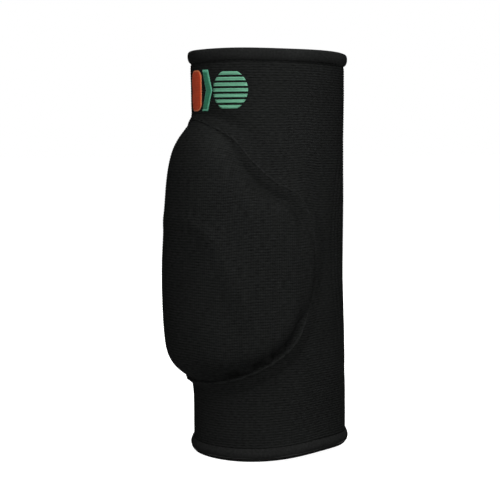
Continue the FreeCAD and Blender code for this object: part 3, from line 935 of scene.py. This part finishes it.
def stitch_object(name, angle, level, run, climb, lift, material):
    """Separate stitches. Each arches a little over the cloth between its two holes."""
    angle, level, run, climb, lift = np.broadcast_arrays(angle, level, run, climb, lift)
    steps = np.linspace(-0.5, 0.5, STITCH_POINTS)
    arch = THREAD_RADIUS * (0.45 - 5.2 * steps ** 2)
    taper = np.sqrt(np.clip(1.05 - (2 * steps) ** 4, 0.05, 1))
    last_ring = (STITCH_POINTS - 1) * THREAD_SIDES
    points, faces = [], []
    for index in range(len(angle)):
        spine_angle = angle[index] + steps * STITCH_LENGTH * run[index] / KNIT_RADIUS
        spine_level = level[index] + steps * STITCH_LENGTH * climb[index]
        spine = on_knit(spine_angle, spine_level, lift[index] + arch)
        along = unit(np.gradient(spine, axis=0))
        across = unit(np.cross(along, outward(spine_angle)))
        outwards = np.cross(across, along)
        start = len(points)
        for step in range(STITCH_POINTS):
            for side in np.arange(THREAD_SIDES) / THREAD_SIDES * 2 * math.pi:
                offset = across[step] * math.cos(side) + outwards[step] * math.sin(side)
                points.append(spine[step] + offset * THREAD_RADIUS * MM * taper[step])
        faces.extend(strip_faces(STITCH_POINTS, THREAD_SIDES, start=start, flip=True).tolist())
        faces.append([start + side for side in range(THREAD_SIDES)])
        faces.append([start + last_ring + side for side in reversed(range(THREAD_SIDES))])
    return make_object(name, points, faces, [material])


def make_hem_stitches(name, level, lift, material):
    """The stitches that hold a hem, in the groove beside it."""
    return stitch_object(name, even_angles(HEM_STITCHES)[0], level, 1.0, 0.0, lift, material)


def walk_outline(pitch):
    """Even steps along the lip's crest: angle, level and direction at each."""
    loop = np.concatenate([OUTLINE, OUTLINE[:1]])
    travelled = np.concatenate([[0], np.cumsum(np.linalg.norm(np.diff(loop, axis=0), axis=1))])
    count = int(travelled[-1] / pitch)
    due = np.arange(count) * travelled[-1] / count
    here, ahead = [np.stack([np.interp(travel, travelled, axis) for axis in loop.T], axis=1)
                   for travel in (due, due + LOOK_AHEAD)]
    run, climb = unit(ahead - here).T
    return here[:, 0] / KNIT_RADIUS, here[:, 1], run, climb


def ridge_height(angle, level):
    """The pinch stands up along the pad's lower edge, is faint above and sinks in on the wings."""
    upper = rise(level, start=PAD_BOTTOM, run=0.35 * PAD_LENGTH)
    wing = rise(np.abs(angle) * KNIT_RADIUS / PAD_HALF_WIDTH, start=0.86, run=0.1)
    return RIDGE_HEIGHT * (1 - 0.7 * upper - 0.5 * wing)


def make_pad_stitches(material):
    """The stitches along the pad's lip, sunk into the ridge."""
    angle, level, run, climb = walk_outline(STITCH_PITCH)
    lift = ridge_height(angle, level) - SEAM_SINK
    return stitch_object("pad_seam_stitches", angle, level, run, climb, lift, material)


def make_lip_ridge(material):
    """The fine ridge that the knit is pinched into along the pad's lip, unevenly, with a painted highlight
    along it.
    """
    angle, level, _, _ = walk_outline(RIDGE_STEP)
    turn = np.arange(len(angle)) * 2 * math.pi / len(angle)
    swell = 1 + 0.25 * np.sin(47 * turn) + 0.2 * np.sin(83 * turn + 1.0) + 0.15 * np.sin(131 * turn + 2.0)
    wander = 0.12 * np.sin(61 * turn)
    # tone is a painted highlight along the ridge, unevenly bright, carried into the knit material by the
    # ridge's shading attribute.
    tone = 0.9 + 0.25 * np.sin(29 * turn) * np.sin(71 * turn + 0.7)
    spine = on_knit(angle, level + wander, ridge_height(angle, level) - RIDGE_HALF_HEIGHT)
    along = unit(np.roll(spine, -1, axis=0) - np.roll(spine, 1, axis=0))
    outwards = outward(angle)
    across = unit(np.cross(along, outwards))
    rings = []
    for side in np.arange(RIDGE_SIDES) / RIDGE_SIDES * 2 * math.pi:
        offset = across * RIDGE_HALF_WIDTH * math.cos(side) + outwards * RIDGE_HALF_HEIGHT * math.sin(side)
        rings.append(spine + offset * (swell * MM)[:, None])
    ridge = closed_ring("lip_ridge", np.concatenate(rings), RIDGE_SIDES, material)
    add_attribute(ridge, "rib_painted_shading", np.tile(tone, RIDGE_SIDES))
    return ridge


# ---- printed motifs

# Darkest and lightest tone of each ink.
INKS = {
    "orange_print": ((0.36, 0.030, 0.006), (0.50, 0.055, 0.012)),
    "orange_print_edge": ((0.52, 0.13, 0.05), (0.66, 0.19, 0.08)),
    "green_print": ((0.016, 0.13, 0.070), (0.028, 0.19, 0.105)),
    "green_print_edge": ((0.07, 0.30, 0.19), (0.12, 0.40, 0.26)),
    "mint_print": ((0.085, 0.27, 0.165), (0.14, 0.37, 0.24)),
}
INK_THICKNESS = 0.16
INK_SINK = 0.1
# The ink evens out the ribs that it lies on.
INK_RIB_DEPTH = 0.6 * RIB_DEPTH
PATCH_COLUMNS = 15
EDGE_LIFT = 0.10
FACE_LIFT = 0.26
STRIPE_LIFT = 0.12


def span_patch(points, faces, levels, left, right, lift):
    """Adds a thin closed patch between two edges that are given level by level."""
    rows, columns = len(levels), PATCH_COLUMNS
    share = np.linspace(0, 1, columns)[None, :]
    angle = left[:, None] + (right - left)[:, None] * share
    level = np.broadcast_to(levels[:, None], angle.shape)
    ribs = INK_RIB_DEPTH * np.cos(level * 2 * math.pi / RIB_PITCH)
    start = sum(len(block) for block in points)
    points.append(on_knit(angle, level, lift + INK_THICKNESS + ribs))
    points.append(on_knit(angle, level, lift - INK_SINK + ribs))
    size = rows * columns
    faces.extend(strip_faces(rows, columns, start=start, wrap=False).tolist())
    faces.extend(strip_faces(rows, columns, start=start + size, wrap=False, flip=True).tolist())
    index = np.arange(size).reshape(rows, columns)
    rim = np.concatenate([index[0], index[1:, -1], index[-1, -2::-1], index[-2:0:-1, 0]])
    for first, second in zip(rim.tolist(), np.roll(rim, -1).tolist()):
        faces.append([start + second, start + first, start + size + first, start + size + second])


def make_motif(name, layers, materials):
    """A printed motif. Each layer holds the spans of its patches, its lift and its material."""
    points, faces, slots = [], [], []
    for spans, lift, slot in layers:
        before = len(faces)
        for levels, left, right in spans:
            span_patch(points, faces, levels, left, right, lift)
        slots.extend([slot] * (len(faces) - before))
    return make_object(name, np.concatenate(points), faces, materials, face_materials=slots)


def block_spans(angle, half_width, half_height, rounding):
    """A rounded rectangle."""
    offset = half_height * np.sin(np.linspace(-math.pi / 2, math.pi / 2, 27))
    past = np.clip(np.abs(offset) - (half_height - rounding), 0.0, rounding)
    width = half_width - rounding + np.sqrt(np.maximum(rounding ** 2 - past ** 2, 0.0))
    width = width / KNIT_RADIUS
    return [(MOTIF_LEVEL + offset, angle - width, angle + width)]


def chevron_spans(angle, half_width, half_height, stroke):
    """A chevron that points to the right."""
    offset = np.linspace(-half_height, half_height, 33)
    lean = (1 - np.abs(offset) / half_height) * (2 * half_width - stroke)
    left = angle + (-half_width + lean) / KNIT_RADIUS
    return [(MOTIF_LEVEL + offset, left, left + stroke / KNIT_RADIUS)]


def roundel_spans(angle, radius, stripe, pitch):
    """A disc of level stripes."""
    reach = int(radius / pitch)
    edge = radius * 0.995
    spans = []
    for index in range(-reach, reach + 1):
        low = max(index * pitch - stripe / 2, -edge)
        high = min(index * pitch + stripe / 2, edge)
        offset = np.linspace(low, high, 7)
        width = np.sqrt(radius ** 2 - offset ** 2) / KNIT_RADIUS
        spans.append((MOTIF_LEVEL + offset, angle - width, angle + width))
    return spans


def motif_angle(node):
    """Angle of the middle of a motif's CAD solid."""
    points = np.array([vertex.co[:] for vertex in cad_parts[node].data.vertices])
    angles = np.arctan2(points[:, 0], -points[:, 1])
    return (angles.min() + angles.max()) / 2


def make_motifs():
    """The block and the chevron have a lighter edge, the lower and larger of their two layers."""
    inks = {name: print_material(name, low, high) for name, (low, high) in INKS.items()}
    angle = motif_angle("motif_orange_block")
    layers = [(block_spans(angle, half_width=7.0, half_height=11.5, rounding=5.0), EDGE_LIFT, 1),
              (block_spans(angle, half_width=6.2, half_height=10.7, rounding=4.3), FACE_LIFT, 0)]
    block = make_motif("orange_block", layers, [inks["orange_print"], inks["orange_print_edge"]])
    angle = motif_angle("motif_green_chevron")
    layers = [(chevron_spans(angle, half_width=4.5, half_height=11.5, stroke=5.2), EDGE_LIFT, 1),
              (chevron_spans(angle, half_width=3.7, half_height=10.2, stroke=3.7), FACE_LIFT, 0)]
    chevron = make_motif("green_chevron", layers, [inks["green_print"], inks["green_print_edge"]])
    angle = motif_angle("motif_striped_roundel")
    layers = [(roundel_spans(angle, radius=11.3, stripe=1.9, pitch=3.1), STRIPE_LIFT, 0)]
    roundel = make_motif("striped_roundel", layers, [inks["mint_print"]])
    return block, chevron, roundel


# ---- assembly


def build_object():
    CLOTH["lift"] = simulate_knit()
    thread = thread_material()
    elastic = elastic_material()
    knit = knit_material()
    sleeve = make_sleeve(knit)
    ridge = make_lip_ridge(knit)
    foam = make_foam(foam_material())
    lining = make_lining(lining_material())
    top_hem, bottom_hem = make_hems(binding_material())
    top_elastic = make_elastic("top_elastic_band", True, elastic)
    bottom_elastic = make_elastic("bottom_elastic_band", False, elastic)
    seam = make_pad_stitches(thread)
    top_level = SLEEVE_LENGTH - HEM_HEIGHT - 0.6
    top_stitches = make_hem_stitches("top_hem_stitches", top_level, 0.05, thread)
    bottom_stitches = make_hem_stitches("bottom_hem_stitches", HEM_HEIGHT - 0.9, 0.35, thread)
    block, chevron, roundel = make_motifs()
    pieces = [
        (sleeve, "outer_sleeve", "knit"),
        (ridge, "outer_sleeve", "knit"),
        (foam, "foam_pad", "foam"),
        (lining, "pad_lining", "lining"),
        (top_hem, "top_hem_binding", "binding"),
        (bottom_hem, "bottom_hem_binding", "binding"),
        (top_elastic, "top_hem_elastic", "elastic"),
        (bottom_elastic, "bottom_hem_elastic", "elastic"),
        (seam, "pad_seam_thread", "thread"),
        (top_stitches, "top_hem_thread", "thread"),
        (bottom_stitches, "bottom_hem_thread", "thread"),
        (block, "motif_orange_block", "orange_print"),
        (chevron, "motif_green_chevron", "green_print"),
        (roundel, "motif_striped_roundel", "mint_print"),
    ]
    for piece, node, slot in pieces:
        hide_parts(node)
        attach(piece, "root")


# ---- studio

CAMERA_ANGLE = math.radians(65)
CAMERA_DISTANCE = 0.9134
CAMERA_HEIGHT = 0.1835
CAMERA_PITCH = math.radians(4.22)
CAMERA_YAW = math.radians(0.636)
CAMERA_LENS = 110.7
FLOOR_REACH = 12.0
FLOOR_GAP = 0.2 * MM
WORLD_LIGHT = 0.03

# Each softbox: azimuth, elevation, distance, size and power.
SOFTBOXES = {
    "key": (73, 52, 0.95, 0.6, 8.9),
    "key_right": (92, 32, 0.95, 0.6, 1.9),
    "fill_left": (40, 10, 0.95, 0.6, 1.1),
    "fill_right": (130, 50, 0.95, 0.6, 0.4),
    "back": (243, 35, 1.3, 0.8, 14.0),
    "front_left": (-35, 30, 1.3, 0.8, 0.5),
}


def make_camera():
    data = bpy.data.cameras.new("camera")
    data.lens = CAMERA_LENS
    data.sensor_width = 36.0
    data.clip_start, data.clip_end = 0.05, 50.0
    camera = add_item("camera", data)
    camera.location = (CAMERA_DISTANCE * math.sin(CAMERA_ANGLE),
                       -CAMERA_DISTANCE * math.cos(CAMERA_ANGLE), CAMERA_HEIGHT)
    camera.rotation_euler = (math.pi / 2 - CAMERA_PITCH, 0.0, CAMERA_ANGLE + CAMERA_YAW)
    bpy.context.scene.camera = camera


def add_softbox(name, azimuth, elevation, distance, size, power):
    """A square area light aimed at the middle of the sleeve."""
    data = bpy.data.lights.new(name, "AREA")
    data.shape = "SQUARE"
    data.size = size
    data.energy = power
    light = add_item(name, data)
    a, e = math.radians(azimuth), math.radians(elevation)
    direction = Vector((math.sin(a) * math.cos(e), -math.cos(a) * math.cos(e), math.sin(e)))
    light.location = Vector((0, 0, SLEEVE_LENGTH * MM / 2)) + direction * distance
    light.rotation_euler = direction.to_track_quat("Z", "Y").to_euler()


def make_world():
    """White to the camera, and only a faint light on the object."""
    world = bpy.data.worlds.new("studio")
    world.use_nodes = True
    bpy.context.scene.world = world
    tree = world.node_tree
    background = tree.nodes["Background"]
    background.inputs["Color"].default_value = (1, 1, 1, 1)
    sight = tree.nodes.new("ShaderNodeLightPath")
    strength = tree.nodes.new("ShaderNodeMapRange")
    strength.inputs["To Min"].default_value = WORLD_LIGHT
    strength.inputs["To Max"].default_value = 1.0
    tree.links.new(sight.outputs["Is Camera Ray"], strength.inputs["Value"])
    tree.links.new(strength.outputs[0], background.inputs["Strength"])


def make_floor():
    low = min(corner[2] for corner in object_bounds()) - FLOOR_GAP
    corners = [(x * FLOOR_REACH, y * FLOOR_REACH, low) for x, y in ((-1, -1), (1, -1), (1, 1), (-1, 1))]
    return make_object("floor", corners, [(0, 1, 2, 3)], [floor_material()])


def make_studio():
    make_world()
    make_floor()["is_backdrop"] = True
    for name, settings in SOFTBOXES.items():
        add_softbox(name, *settings)
    bpy.context.scene.view_settings.view_transform = "Standard"


make_camera()
build_object()
make_studio()
